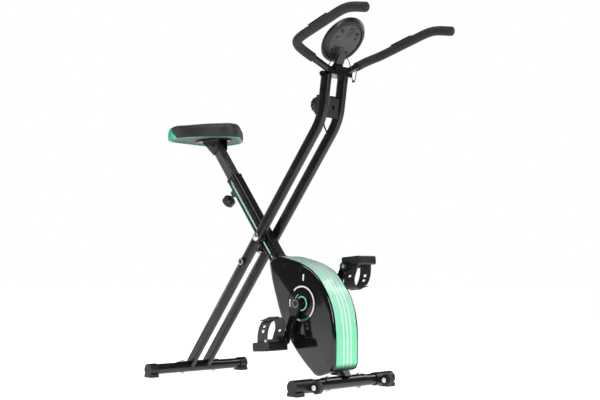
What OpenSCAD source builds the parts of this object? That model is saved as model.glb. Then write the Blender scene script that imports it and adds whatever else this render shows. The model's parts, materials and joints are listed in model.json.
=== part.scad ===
// Folding exercise bike with an X frame: a seat tube and a pair of twin tubes cross at a pivot.
// +X is forwards, +Y is the rider's left, +Z is up. Millimetres. The floor is z = 0.
// The origin is under the middle of the machine's outline.

/* [Stance] */
// Distance between the two stabiliser tubes
wheelbase = 717; // [660:1:780]
// Height of the stabiliser tube centres above the floor
stab_z = 27; // [26:0.5:32]
// Overall width over the feet
foot_span = 446; // [360:1:560]
// Lean of the seat tube, back from vertical
seat_tilt = 38.1; // [36:0.1:40]
// Lean of the twin tubes, forward from vertical
twin_tilt = 39.05; // [37:0.1:41]

/* [Frame tubes] */
// Depth of the seat tube, along the bike
tube_d = 47; // [44:1:56]
// Width of the seat tube
tube_w = 40; // [38:1:48]
// Length of the seat tube from its foot to its rim
tube_len = 847; // [800:1:900]
// Depth of each twin tube
twin_d = 35; // [30:1:42]
// Width of each twin tube
twin_w = 20; // [16:1:24]
// Length of the twin tubes from foot to bend
twin_len = 1058; // [1000:1:1100]
// Lean of the upper stem, forward from vertical
stem_tilt = 8.7; // [4:0.1:14]
// Length of the upper stem above the bend
stem_len = 138; // [125:1:170]
// Wall of every frame tube
tube_wall = 2; // [1.5:0.1:3]
// Gap between the seat tube and each twin tube
pivot_gap = 7.4; // [6:0.1:12]
// Radius of the pivot bolt
pivot_r = 6; // [5:0.5:8]

/* [Stabilisers] */
// Radius of the stabiliser tubes
stab_r = 18; // [15:0.5:20]
// Length of each end cap
cap_len = 33; // [28:1:44]
// Length of each foot along the bike
foot_x = 41; // [34:1:50]
// Radius of the transport wheels
wheel_r = 19; // [14:0.5:21]

/* [Drive] */
// Distance of the crank axle up the seat tube
crank_s = 270; // [262:1:278]
// Stand-off of the crank axle from the tube's centre line
crank_n = 46.3; // [46:0.1:52]
// Length of each crank arm
crank_len = 130; // [110:1:150]
// Angle of the right arm back from straight down, at rest
crank_rest = 25.5; // [0:0.5:60]
// Radius of the drive pulley
pulley_r = 80; // [60:1:84]
// Radius of the flywheel
fly_r = 70; // [55:1:72]
// Thickness of the flywheel
fly_t = 18; // [10:1:20]
// Radius of the small pulley
small_r = 15; // [12:1:20]
// Half width of the casing
casing_hw = 58; // [56:0.5:66]
// Wall of the casing
casing_wall = 3; // [2:0.1:4]

/* [Pedals] */
// Pedal length, fore and aft
pedal_x = 76; // [66:1:90]
// Pedal width
pedal_y = 80; // [70:1:92]
// Pedal thickness
pedal_z = 28; // [24:1:32]
// Height of the strap's arch above the tread
strap_h = 78; // [60:1:90]

/* [Seat] */
// Side of the square seat post
post_w = 34; // [28:1:35]
// Distance of the seat post's top up the tube line
post_top = 1038; // [1020:1:1060]
// Distance of the height knob up the tube line
knob_s = 807; // [790:1:815]
// Spacing of the post's height holes
hole_pitch = 20; // [18:1:24]
// Thickness of the cushion
cushion_t = 42; // [36:1:60]

/* [Handlebar] */
// Radius of the handlebar tube
bar_r = 11; // [9.5:0.5:12.5]
// Outer radius of the foam grips
grip_r = 14.5; // [14:0.5:17]
// Half width between the grips' front ends
bar_half = 198; // [180:1:215]
// Radius of the console
console_r = 76; // [66:1:84]

/* [Hidden] */
$fn = 64;

// Running clearance of a shaft in its bore, and a free gap between moving faces
run = 0.05;
gap = 0.4;
// How far a bend's knuckle stands proud of the tube
knuckle = 0.25;
front_out = 7.8;
rear_out = 4.9;
fx = wheelbase / 2 + front_out;
rx = -(wheelbase / 2 + rear_out);
sa = sin(seat_tilt);
ca = cos(seat_tilt);
sb = sin(twin_tilt);
cb = cos(twin_tilt);
// The pivot, as a distance up each tube line
pivot_s = (fx - rx) / (sa + ca * sb / cb);
pivot_t = pivot_s * ca / cb;
// A point by its distance up a tube line and its offset square to that line
function seat_pt(s, n = 0) = [fx - s * sa + n * ca, stab_z + s * ca + n * sa];
function twin_pt(t, n = 0) = [rx + t * sb + n * cb, stab_z + t * cb - n * sb];
pivot = seat_pt(pivot_s);
bend = twin_pt(twin_len);
function stem_pt(l, n = 0) = [
  bend[0] + l * sin(stem_tilt) + n * cos(stem_tilt),
  bend[1] + l * cos(stem_tilt) - n * sin(stem_tilt)
];
twin_y = tube_w / 2 + pivot_gap + twin_w / 2;
twin_out = twin_y + twin_w / 2;
twin_in = twin_y - twin_w / 2;
saddle_t = 3;
saddle_z = stab_z + stab_r + saddle_t;
cap_r = stab_r + 3;
sleeve_r = pivot_r + 5;
bend_r = 90;
bend_tan = bend_r * tan((twin_tilt - stem_tilt) / 2);
// Handlebar: the clamp's centre, then points out to the tip of one side
bar_drop = 13;
clamp = stem_pt(stem_len + bar_drop - 0.5, 10);
bar_pts = [
  [0, 0, 0], [0, 30, 0], [-17, 152, 57], [-6, 176, 69], [20, 186, 77],
  [200, bar_half - 1, 122], [236, bar_half, 123], [293, bar_half, 110]
];
bar_tip = len(bar_pts) - 1;
// Where the foam starts, on the bar's first slope
grip_from = bar_pts[1] + 0.56 * (bar_pts[2] - bar_pts[1]);
tip_dir = unit(bar_pts[bar_tip] - bar_pts[bar_tip - 1]);
plug_t = 4;
// The outline runs from the back of the seat to the front of the grips
tip_x = clamp[0] + bar_pts[bar_tip][0] + plug_t * tip_dir[0] + grip_r * sqrt(1 - tip_dir[0] * tip_dir[0]);
seat_back = 140;
tail_x = seat_pt(post_top)[0] - seat_back;
origin_x = (tip_x + tail_x) / 2;

black = [0.08, 0.08, 0.085];
grey = [0.2, 0.2, 0.21];
steel = [0.72, 0.73, 0.75];
mint = [0.56, 0.95, 0.76];
teal = [0.25, 0.8, 0.68];

// Frames of reference
module world() translate([-origin_x, 0, 0]) children();
module on_seat(s = 0, n = 0, y = 0) world() translate([fx, 0, stab_z])
  rotate([0, -seat_tilt, 0]) translate([n, y, s]) children();
module on_twin(t = 0, n = 0, y = 0) world() translate([rx, 0, stab_z])
  rotate([0, twin_tilt, 0]) translate([n, y, t]) children();
module on_stem(l = 0, n = 0, y = 0) world() translate([bend[0], 0, bend[1]])
  rotate([0, stem_tilt, 0]) translate([n, y, l]) children();
module at(p, y = 0) world() translate([p[0], y, p[1]]) children();
// A bar or bore along Y, from y0 to y1
module along_y(r, y0, y1) translate([0, y1, 0]) rotate([90, 0, 0]) cylinder(h = y1 - y0, r = r);

module rrect(d, w, r) {
  square([d - 2 * r, w], center = true);
  square([d, w - 2 * r], center = true);
  for (i = [-1, 1], j = [-1, 1])
    translate([i * (d / 2 - r), j * (w / 2 - r)]) circle(r);
}
module above(z) translate([-2000, -2000, z]) cube([4000, 4000, 3000]);
module below(z) translate([-2000, -2000, z - 3000]) cube([4000, 4000, 3000]);

// ---------- Front frame ----------
axle_s = 165;
axle_n = 11;
axle_r = 6;
axle_sleeve = 9;
fly = seat_pt(axle_s, axle_n);
crank = seat_pt(crank_s, crank_n);
shell_r = 22;
shell_hw = 22;
crank_axle_r = 8.5;
pin_r = 5;
seat_low = 4 * hole_pitch;
post_in = post_w + 0.4;
tube_in_d = tube_d - 2 * tube_wall;
tube_in_w = tube_w - 2 * tube_wall;
nut_len = 13;
module seat_tube() color(black) difference() {
  union() {
    difference() {
      on_seat() linear_extrude(tube_len) difference() {
        rrect(tube_d, tube_w, 8);
        rrect(tube_in_d, tube_in_w, 6);
      }
      below(saddle_z);
    }
    on_seat(pivot_s) along_y(sleeve_r, -tube_w / 2, tube_w / 2);
    on_seat(axle_s, axle_n) along_y(axle_sleeve, -tube_w / 2, tube_w / 2);
    on_seat(knob_s, -tube_d / 2) rotate([0, -90, 0]) cylinder(h = nut_len, r = 14);
    // bearing shell of the crank, on its pad
    on_seat(crank_s, crank_n) along_y(shell_r, -shell_hw, shell_hw);
    on_seat(crank_s, tube_d / 2 - 1) translate([0, -12, -20]) cube([crank_n - tube_d / 2, 24, 40]);
  }
  on_seat(crank_s, crank_n) along_y(crank_axle_r + run, -60, 60);
  on_seat(pivot_s) along_y(pivot_r + run, -tube_w, tube_w);
  on_seat(axle_s, axle_n) along_y(axle_r + run, -tube_w, tube_w);
  on_seat(knob_s) rotate([0, -90, 0]) cylinder(h = 90, r = pin_r + run);
}
// Plastic collar inside the seat tube's rim
collar_in = 60;
collar_lip = 6;
module seat_collar() color(grey) difference() {
  union() {
    on_seat(tube_len - collar_in) linear_extrude(collar_in) rrect(tube_in_d, tube_in_w, 6);
    on_seat(tube_len) linear_extrude(collar_lip) rrect(tube_d + 2, tube_w + 2, 9);
  }
  on_seat(tube_len - collar_in - 1) linear_extrude(collar_in + collar_lip + 2)
    square([post_in, post_in], center = true);
  on_seat(knob_s) rotate([0, -90, 0]) cylinder(h = 90, r = pin_r + run);
}
// Plate on the right side of the seat tube that takes the fold lock pin
lock_reach = 105;
lock_t = 3;
lock_r = 4;
lock_end_r = 8.5;
module lock_arm() color(black) difference() {
  on_twin(pivot_t, 0, -tube_w / 2) rotate([90, 0, 0]) linear_extrude(lock_t) {
    circle(17);
    translate([0, -lock_reach]) circle(lock_end_r);
    translate([-lock_end_r, -lock_reach]) square([2 * lock_end_r, lock_reach]);
  }
  on_twin(pivot_t) along_y(pivot_r + run, -60, 60);
  on_twin(pivot_t - lock_reach) along_y(lock_r + run, -60, 60);
}
module pivot_bushes() color(steel) {
  difference() {
    on_twin(pivot_t) along_y(13, tube_w / 2, twin_in - gap);
    on_twin(pivot_t) along_y(pivot_r + run, -60, 60);
  }
  difference() {
    on_twin(pivot_t) along_y(13, -twin_in + gap, -tube_w / 2 - lock_t);
    on_twin(pivot_t) along_y(pivot_r + run, -60, 60);
  }
}
dome_r = 13;
module pivot_bolt() color(steel) on_twin(pivot_t) {
  along_y(pivot_r, -twin_out - 1, twin_out + 1);
  for (k = [-1, 1]) translate([0, k * (twin_out + gap), 0]) rotate([-90 * k, 0, 0]) {
    cylinder(h = 3, r = dome_r);
    translate([0, 0, 3]) rotate_extrude() intersection() {
      translate([0, -11.9]) circle(17.7);
      square([dome_r, 20]);
    }
  }
}

// ---------- Stabilisers, shared by both ends ----------
stab_half = foot_span / 2 - 8;
cap_in = foot_span / 2 - cap_len;
module stab_tube(x, bolt_y) difference() {
  world() translate([x, 0, stab_z]) along_y(stab_r, -stab_half, stab_half);
  world() translate([x, 0, stab_z]) along_y(stab_r - tube_wall, -stab_half - 1, stab_half + 1);
  for (y = [-bolt_y, bolt_y]) world() translate([x, y, 0]) cylinder(h = 80, r = bolt_r + 0.5);
}
foot_h = 12;
module cap_body(x, k) world() translate([x, 0, 0]) {
  difference() {
    union() {
      translate([0, 0, stab_z]) along_y(cap_r, min(k * cap_in, k * foot_span / 2),
        max(k * cap_in, k * foot_span / 2));
      translate([-foot_x / 2, min(k * cap_in, k * foot_span / 2), 0]) cube([foot_x, cap_len, foot_h]);
    }
    translate([0, 0, stab_z]) along_y(stab_r, min(k * (cap_in - 1), k * stab_half),
      max(k * (cap_in - 1), k * stab_half));
  }
}
bolt_r = 4;
bolt_y_front = 70;
bolt_y_rear = 72;
saddle_hy = 92;
module saddle(x, bolt_y) difference() {
  world() translate([x, 0, stab_z]) along_y(stab_r + saddle_t, -saddle_hy, saddle_hy);
  world() translate([x, 0, stab_z]) along_y(stab_r, -saddle_hy - 1, saddle_hy + 1);
  below(stab_z + 5);
  for (y = [-bolt_y, bolt_y]) world() translate([x, y, 0]) cylinder(h = 80, r = bolt_r + 0.5);
}
// Carriage bolts: domed head above the saddle, nut below the tube
module saddle_bolts(x, bolt_y) for (y = [-bolt_y, bolt_y]) world() translate([x, y, 0]) {
  translate([0, 0, 4]) cylinder(h = saddle_z, r = bolt_r);
  translate([0, 0, saddle_z]) cylinder(h = 2, r = 8);
  translate([0, 0, saddle_z + 2]) cylinder(h = 2, r = 5.5);
  translate([0, 0, stab_z - stab_r - 6]) cylinder(h = 6, r = 7.5, $fn = 6);
}
front_x = wheelbase / 2;
rear_x = -wheelbase / 2;
module front_stabiliser() color(black) stab_tube(front_x, bolt_y_front);
module rear_stabiliser() color(black) stab_tube(rear_x, bolt_y_rear);
module front_saddle() color(black) saddle(front_x, bolt_y_front);
module rear_saddle() color(black) saddle(rear_x, bolt_y_rear);
module front_bolts() color(steel) saddle_bolts(front_x, bolt_y_front);
module rear_bolts() color(steel) saddle_bolts(rear_x, bolt_y_rear);
module rear_cap_right() color(grey) cap_body(rear_x, -1);
module rear_cap_left() color(grey) cap_body(rear_x, 1);

// Each front cap reaches inwards and forwards to carry a transport wheel on a stub
wheel_w = 14;
wheel_in = 25;
wheel_y = cap_in - wheel_in - wheel_w / 2;
wheel_x = front_x + cap_r + wheel_r + 1;
wheel_z = stab_z - 1;
stub_r = 4;
collar_y = cap_in - wheel_in - wheel_w - 12;
module front_cap(k) {
  lo = min(k * collar_y, k * cap_in);
  hi = max(k * collar_y, k * cap_in);
  cap_body(front_x, k);
  difference() {
    union() {
      world() translate([front_x, 0, stab_z]) along_y(cap_r, lo, hi);
      // two cheeks, one each side of the wheel
      for (y = [wheel_y - wheel_w / 2 - 1 - 6, wheel_y + wheel_w / 2 + 1])
        world() translate([front_x, k > 0 ? y : -y - 6, 0]) {
          translate([10, 0, wheel_z - 9]) cube([wheel_x - front_x - 10, 6, 18]);
          translate([wheel_x - front_x, 0, wheel_z]) along_y(9, 0, 6);
        }
    }
    world() translate([front_x, 0, stab_z]) along_y(stab_r, lo - 1, hi + 1);
    world() translate([wheel_x, 0, wheel_z]) along_y(stub_r, -300, 300);
  }
  world() translate([wheel_x, 0, wheel_z])
    along_y(stub_r, min(k * (wheel_y - wheel_w / 2 - 8), k * (wheel_y + wheel_w / 2 + 8)),
      max(k * (wheel_y - wheel_w / 2 - 8), k * (wheel_y + wheel_w / 2 + 8)));
}
module front_cap_right() color(grey) front_cap(-1);
module front_cap_left() color(grey) front_cap(1);
module wheel(k) world() translate([wheel_x, k * wheel_y, wheel_z]) difference() {
  union() {
    along_y(wheel_r, -wheel_w / 2, wheel_w / 2);
    along_y(9, -wheel_w / 2 - 0.5, wheel_w / 2 + 0.5);
  }
  along_y(stub_r + run, -20, 20);
}
module wheel_right() color(black) wheel(-1);
module wheel_left() color(black) wheel(1);

// ---------- Casing ----------
// Side outline, from the top of the front edge round to the top of the back edge
casing_pts = [
  [88, 412], [103, 418], [127, 418], [174, 408], [221, 396], [262, 378], [293, 356], [320, 326],
  [344, 291], [360, 255], [369, 216], [374, 169], [374, 123], [370, 74], [345, 58], [296, 44],
  [265, 62], [229, 92], [195, 126], [166, 165], [144, 203], [126, 243], [111, 284], [97, 324],
  [86, 364], [80, 395]
];
function ring(i) = casing_pts[(i + len(casing_pts)) % len(casing_pts)];
function curve(a, b, c, d, t) = 0.5 * (2 * b + (c - a) * t + (2 * a - 5 * b + 4 * c - d) * t * t
  + (3 * b - a - 3 * c + d) * t * t * t);
// Outline drawn smooth through the points, moved inwards by d along its own normal
function outline(d) = [
  for (i = [0:len(casing_pts) - 1], t = [0, 0.5])
    let (p = curve(ring(i - 1), ring(i), ring(i + 1), ring(i + 2), t))
    let (q = curve(ring(i - 1), ring(i), ring(i + 1), ring(i + 2), t + 0.05))
    let (v = (q - p) / norm(q - p))
    p + d * [v[1], -v[0]]
];
module slab(d, y0, y1) translate([0, y1, 0]) rotate([90, 0, 0]) linear_extrude(y1 - y0)
  polygon(outline(d));
band_hw = 47;
band_t = 2;
screw_pts = [[150, 388], [226, 374], [350, 95], [110, 350], [282, 92]];
module casing_hull(k, d, y) world() mirror([0, k > 0 ? 0 : 1, 0]) hull() {
  slab(d, 0.01, y - 11);
  slab(d + 3.5, 0.01, y - 3);
  slab(d + 11, 0.01, y);
}
// Room for the seat tube, the front stabiliser and the two cables
module passages() {
  on_seat() linear_extrude(1000) rrect(tube_d + 1, tube_w + 1, 8);
  below(saddle_z + 1);
  world() translate([front_x, 0, stab_z]) along_y(stab_r + saddle_t + 5, -70, 70);
  for (k = [-1, 1]) world() translate([78, k * cable_y, 421]) rotate([0, 115, 0]) cylinder(h = 60, r = 5);
}
module casing(k) difference() {
  casing_hull(k, 0, casing_hw);
  casing_hull(k, casing_wall + band_t, casing_hw - casing_wall);
  // recess for the coloured band
  world() difference() {
    slab(-5, min(0, k * band_hw), max(0, k * band_hw));
    slab(band_t, -60, 60);
  }
  passages();
  // holes for the crank axle and the screws
  at(crank) along_y(crank_axle_r + 6, -70, 70);
  for (p = screw_pts) at(p, 0) along_y(2.6, -70, 70);
  for (p = screw_pts) at(p, 0) along_y(5, k > 0 ? casing_hw - 2 : -70, k > 0 ? 70 : -casing_hw + 2);
}
// raised ring round the crank
boss_r = 57;
module boss(k) difference() {
  at(crank) along_y(boss_r, k > 0 ? casing_hw : -casing_hw - 1.5, k > 0 ? casing_hw + 1.5 : -casing_hw);
  at(crank) along_y(boss_r - 5, -70, 70);
}
module casing_right() color(black) { casing(-1); boss(-1); }
module casing_left() color(black) {
  casing(1);
  boss(1);
  // stud that the brake arm swings on
  at(arm_hang) along_y(stud_r, arm_y0 - 1, casing_hw - 1);
}
module casing_band() color(mint) difference() {
  world() slab(0, -band_hw + 0.2, band_hw - 0.2);
  world() slab(band_t - 0.02, -60, 60);
  on_seat(0, -300) translate([-250, -100, -200]) cube([549, 200, 1200]);
  passages();
}
module casing_screws() color(grey) for (p = screw_pts, k = [-1, 1]) at(p, 0) {
  along_y(4.5, k > 0 ? casing_hw - 2 : -casing_hw + 0.4, k > 0 ? casing_hw - 0.4 : -casing_hw + 2);
}

// ---------- Drive ----------
belt_y0 = -38;
belt_y1 = -26;
belt_t = 2;
axle_end = 86;
arm_in = 70;
arm_t = 13;
module crank_axle() color(steel) at(crank) {
  along_y(crank_axle_r, -axle_end, axle_end);
  for (k = [-1, 1]) translate([0, k * (arm_in + arm_t), 0]) rotate([-90 * k, 0, 0])
    cylinder(h = 6, r = 12);
}
module drive_pulley() color(grey) at(crank) difference() {
  union() {
    along_y(pulley_r, belt_y0 - 1, belt_y1 + 1);
    along_y(18, belt_y0 - 5, belt_y1 + 2);
  }
  along_y(crank_axle_r, -60, 0);
  for (a = [30:60:330]) rotate([0, a, 0]) translate([50, 0, 0]) along_y(16, -60, 0);
}
module crank_arm(k) at(crank) rotate([0, k > 0 ? crank_rest - 180 : crank_rest, 0]) difference() {
  union() {
    for (e = [[0, 17], [-crank_len, 14]]) translate([0, 0, e[0]])
      along_y(e[1], k > 0 ? arm_in : -arm_in - arm_t, k > 0 ? arm_in + arm_t : -arm_in);
    translate([0, k > 0 ? arm_in + arm_t - 1 : -arm_in - 1, 0]) rotate([90, 0, 0])
      linear_extrude(arm_t - 2) polygon([[-14, 0], [14, 0], [10, -crank_len], [-10, -crank_len]]);
  }
  along_y(crank_axle_r, -100, 100);
  translate([0, 0, -crank_len]) along_y(spindle_r, -100, 100);
}
module crank_arm_right() color(black) crank_arm(-1);
module crank_arm_left() color(black) crank_arm(1);
spindle_r = 6;
spindle_collar_r = 10;
pedal_in = arm_in + arm_t + 6;
spindle_end = pedal_in + pedal_y - 6;
function pedal_at(k) = [crank[0] + k * crank_len * sin(crank_rest), crank[1] + k * crank_len * cos(crank_rest)];
module pedal_spindles() color(steel) for (k = [-1, 1]) at(pedal_at(k)) {
  along_y(spindle_r, min(k * arm_in, k * spindle_end), max(k * arm_in, k * spindle_end));
  along_y(spindle_collar_r, min(k * (arm_in + arm_t), k * (pedal_in - 1)), max(k * (arm_in + arm_t), k * (pedal_in - 1)));
}
// Pedal frame of reference: origin on the spindle, tread up, turned over on the left
pedal_lean = 4;
pedal_drop = 17;
pedal_back = 17;
module on_pedal(k) at(pedal_at(k)) rotate([0, (k > 0 ? 180 : 0) - pedal_lean, 0])
  mirror([0, k > 0 ? 0 : 1, 0]) children();
module pedal_shape() difference() {
  union() {
    translate([-pedal_back, pedal_in + pedal_y, -pedal_drop]) rotate([90, 0, 0])
      linear_extrude(pedal_y) rrect(pedal_x, pedal_z, 6);
    along_y(13, pedal_in, pedal_in + 26);
    translate([0, pedal_in, -pedal_drop]) cube([12, 26, pedal_drop]);
    translate([-12, pedal_in, -pedal_drop]) cube([12, 26, pedal_drop]);
  }
  along_y(spindle_r + run, pedal_in - 5, spindle_end + 1);
  // shallow ribs of the tread
  for (i = [-3:3]) translate([-pedal_back + i * 10 - 2, pedal_in + 30, -pedal_drop + pedal_z / 2 - 2])
    cube([4, pedal_y - 38, 10]);
}
strap_w = 46;
strap_t = 3;
module strap_shape() translate([-pedal_back, 0, -pedal_drop + pedal_z / 2]) {
  half = pedal_y / 2 + strap_t;
  rise = strap_h - 34;
  translate([strap_w / 2, pedal_in + pedal_y / 2, 0]) rotate([90, 0, -90]) linear_extrude(strap_w)
    difference() {
      union() {
        translate([-half, -pedal_z + 6]) square([2 * half, rise + pedal_z - 6]);
        translate([0, rise]) intersection() {
          translate([0, -8]) circle(half - 1);
          translate([-half, 0]) square([2 * half, 60]);
        }
      }
      translate([-half + strap_t, -pedal_z]) square([2 * (half - strap_t), rise + pedal_z]);
      translate([0, rise]) intersection() {
        translate([0, -8]) circle(half - 1 - strap_t);
        translate([-half, -1]) square([2 * half, 60]);
      }
    }
}
module pedal_right() color(black) on_pedal(-1) pedal_shape();
module pedal_left() color(black) on_pedal(1) pedal_shape();
// Strap with room for the spindle and its collar
module strap(k) color(black) on_pedal(k) difference() {
  strap_shape();
  along_y(spindle_collar_r + 0.5, pedal_in - 10, pedal_in + 12);
}
module strap_right() strap(-1);
module strap_left() strap(1);

// Open belt round both pulleys
module belt_line(grow) hull() {
  circle(small_r + grow);
  translate(crank - fly) circle(pulley_r + grow);
}
module drive_belt() color(black) at(fly) translate([0, belt_y1, 0]) rotate([90, 0, 0])
  linear_extrude(belt_y1 - belt_y0) difference() {
    belt_line(belt_t + gap);
    belt_line(gap);
  }
fly_y0 = 25;
module flywheel() color(steel) at(fly) difference() {
  along_y(fly_r, fly_y0, fly_y0 + fly_t);
  along_y(axle_r, 0, 60);
  difference() {
    union() {
      along_y(fly_r - 12, fly_y0 - 1, fly_y0 + 4);
      along_y(fly_r - 12, fly_y0 + fly_t - 4, fly_y0 + fly_t + 1);
    }
    along_y(14, 0, 60);
  }
}
module flywheel_axle() color(steel) at(fly) {
  along_y(axle_r, belt_y0 - 4, fly_y0 + fly_t + 4);
  along_y(small_r, belt_y0 - 1, belt_y1 + 1);
}
// Magnet carrier that swings towards the flywheel's rim
arm_hang = [fly[0] - fly_r - 12, fly[1] + 4];
arm_gap = 4;
arm_y0 = fly_y0 + 1;
arm_y1 = fly_y0 + fly_t - 1;
stud_r = 3;
module arc2d(r0, r1, a0, a1) difference() {
  intersection() {
    circle(r1);
    polygon([for (a = [0, a0, a0 + (a1 - a0) / 3, a0 + (a1 - a0) * 2 / 3, a1]) a == 0 ? [0, 0] : 200 * [cos(a), sin(a)]]);
  }
  circle(r0);
}
module brake_arm() color(grey) difference() {
  union() {
    at(fly) translate([0, arm_y1, 0]) rotate([90, 0, 0]) linear_extrude(arm_y1 - arm_y0)
      arc2d(fly_r + arm_gap + 4, fly_r + arm_gap + 10, 100, 176);
    at(arm_hang) along_y(7, arm_y0, arm_y1);
  }
  at(arm_hang) along_y(stud_r + run, 0, 80);
}
module brake_magnets() color(steel) for (a = [112, 132, 152]) at(fly)
  translate([0, arm_y1 - 2, 0]) rotate([90, 0, 0]) linear_extrude(arm_y1 - arm_y0 - 4)
    arc2d(fly_r + arm_gap, fly_r + arm_gap + 4, a - 6, a + 6);
module speed_sensor() color(black) at(crank) translate([-62, 0, 40]) {
  along_y(5, casing_wall - casing_hw, belt_y0 - 2);
}

// ---------- Seat ----------
post_low = pivot_s + sleeve_r + seat_low + 2;
plate_z = seat_pt(post_top)[1] - 6;
seat_x = seat_pt(post_top)[0];
module seat_post() color(grey) difference() {
  on_seat(post_low) linear_extrude(post_top + 30 - post_low) difference() {
    rrect(post_w, post_w, 4);
    rrect(post_w - 2 * tube_wall, post_w - 2 * tube_wall, 2.5);
  }
  above(plate_z);
  for (i = [-2:4]) on_seat(knob_s + i * hole_pitch) rotate([0, -90, 0]) cylinder(h = 60, r = pin_r + 0.4);
}
plate_t = 5;
module seat_bracket() color(black) {
  world() translate([seat_x - 62, -34, plate_z]) cube([124, 68, plate_t]);
  difference() {
    union() {
      for (y = [-post_w / 2 - 4, post_w / 2]) world() translate([0, y + 4, 0]) rotate([90, 0, 0])
        linear_extrude(4) polygon([
          [seat_x - 40, plate_z], [seat_x + 52, plate_z],
          seat_pt(post_top - 62, post_w / 2), seat_pt(post_top - 62, -post_w / 2)
        ]);
    }
    on_seat(post_top - 30) along_y(4, -60, 60);
  }
  on_seat(post_top - 30) along_y(4, -post_w / 2 - 8, -post_w / 2);
  on_seat(post_top - 30) along_y(4, post_w / 2, post_w / 2 + 8);
}
// Half of the seat's outline, from the back round to the nose, measured from the post
seat_pts = [
  [-140, 0], [-140, 50], [-134, 88], [-114, 116], [-76, 130], [-30, 132], [12, 123], [48, 100],
  [76, 70], [98, 47], [118, 35], [132, 20], [137, 0]
];
function seat_ring() = concat(seat_pts, [for (i = [len(seat_pts) - 2:-1:1]) [seat_pts[i][0], -seat_pts[i][1]]]);
function sring(i) = seat_ring()[(i + len(seat_ring())) % len(seat_ring())];
function seat_outline(k) = [
  for (i = [0:len(seat_ring()) - 1], t = [0, 0.5])
    let (p = curve(sring(i - 1), sring(i), sring(i + 1), sring(i + 2), t)) [p[0] * k, p[1] * k]
];
module seat_layer(k, z, h) world() translate([seat_x, 0, z]) linear_extrude(h) polygon(seat_outline(k));
base_z = plate_z + plate_t;
base_t = 8;
module seat_base() color(teal) {
  difference() {
    seat_layer(0.97, base_z, base_t);
    world() translate([seat_x, 0, base_z - 1]) linear_extrude(5) difference() {
      polygon(seat_outline(0.9));
      square([130, 76], center = true);
    }
  }
  // the shell's two back corners, which turn up over the cushion
  for (k = [-1, 1]) difference() {
    seat_layer(1.0, base_z, 42);
    seat_layer(0.965, base_z - 1, 50);
    world() translate([seat_x - 108, -200, 0]) cube([300, 400, 1500]);
    world() translate([seat_x - 300, k > 0 ? -400 : -52, 0]) cube([400, 452, 1500]);
  }
}
module seat_cushion() color(black) difference() {
  union() {
    seat_layer(0.99, base_z + base_t, cushion_t - 12);
    seat_layer(0.96, base_z + base_t + cushion_t - 12, 7);
    seat_layer(0.9, base_z + base_t + cushion_t - 5, 5);
  }
  for (k = [-1, 1]) difference() {
    world() translate([seat_x - 150, k > 0 ? 51 : -151, base_z]) cube([43, 100, 43]);
    seat_layer(0.96, base_z - 1, 60);
  }
}
// Sprung knob: its pin drops into a hole of the post
knob_r = 22;
knob_out = 58;
module height_knob() color(black) on_seat(knob_s) rotate([0, -90, 0]) {
  translate([0, 0, post_w / 2 - 3]) cylinder(h = knob_out - post_w / 2 + 5, r = pin_r);
  translate([0, 0, knob_out]) cylinder(h = 7, r1 = 15, r2 = knob_r);
  translate([0, 0, knob_out + 7]) cylinder(h = 16, r = knob_r);
  translate([0, 0, knob_out + 23]) cylinder(h = 4, r1 = knob_r, r2 = 17);
}

// ---------- Rear frame ----------
clamp_z = clamp[1] - bar_r - 3;
twin_round = 6;
twin_sleeve = 9;
module twin_bush(t, r, k) on_twin(t) along_y(r, min(k * (twin_in + 1), k * (twin_out - 1)),
  max(k * (twin_in + 1), k * (twin_out - 1)));
bend_a = twin_pt(twin_len - bend_tan);
bend_b = stem_pt(bend_tan);
bend_chord = norm(bend_b - bend_a);
// The three straight runs of a twin tube and the knuckles between them
module twin_solid(k, d, w, r) {
  on_twin(0, 0, k * twin_y) linear_extrude(twin_len - bend_tan) rrect(d, w, r);
  at(bend_a, k * twin_y) rotate([0, (twin_tilt + stem_tilt) / 2, 0]) linear_extrude(bend_chord) rrect(d, w, r);
  on_stem(bend_tan, 0, k * twin_y) linear_extrude(stem_len - bend_tan + 40) rrect(d, w, r);
  for (q = [bend_a, bend_b]) at(q, k * twin_y) rotate([90, 0, 0]) rotate_extrude() intersection() {
    rrect(d + 2 * knuckle, w - 2 * knuckle, r);
    translate([0, -50]) square([100, 100]);
  }
}
module twin_tube(k) color(black) difference() {
  union() {
    difference() {
      twin_solid(k, twin_d, twin_w, twin_round);
      twin_solid(k, twin_d - 2 * tube_wall, twin_w - 2 * tube_wall, twin_round - tube_wall);
    }
    twin_bush(pivot_t, twin_sleeve, k);
    twin_bush(pivot_t - lock_reach, twin_sleeve, k);
  }
  below(saddle_z);
  above(clamp_z);
  on_twin(pivot_t) along_y(pivot_r + run, -60, 60);
  on_twin(pivot_t - lock_reach) along_y(lock_r + run, -60, 60);
  // cable holes in the inner wall
  at([262, 812]) along_y(5, k > 0 ? 20 : -twin_y, k > 0 ? twin_y : -20);
  at([-22, 452]) along_y(6, k > 0 ? 20 : -twin_y, k > 0 ? twin_y : -20);
  at([316, 925]) along_y(4, k > 0 ? 20 : -twin_y, k > 0 ? twin_y : -20);
}
module twin_tube_right() twin_tube(-1);
module twin_tube_left() twin_tube(1);
plate_lo = 6;
plate_hi = 69;
module bend_plate() color(black) difference() {
  union() {
    on_stem(plate_lo, 6) translate([0, -twin_in, 0]) cube([3, 2 * twin_in, plate_hi - plate_lo]);
    on_stem(plate_lo, 6) translate([-14, -twin_in, 0]) cube([14, 2 * twin_in, 3]);
    on_stem(plate_hi - 3, 6) translate([-14, -twin_in, 0]) cube([14, 2 * twin_in, 3]);
  }
  on_stem(40) rotate([0, 90, 0]) cylinder(h = 40, r = 5, center = true);
  on_stem(33) rotate([0, 90, 0]) cylinder(h = 40, r = 3, center = true);
  on_stem(plate_lo) translate([-12, -8, -2]) cube([10, 16, 6]);
}
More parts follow.
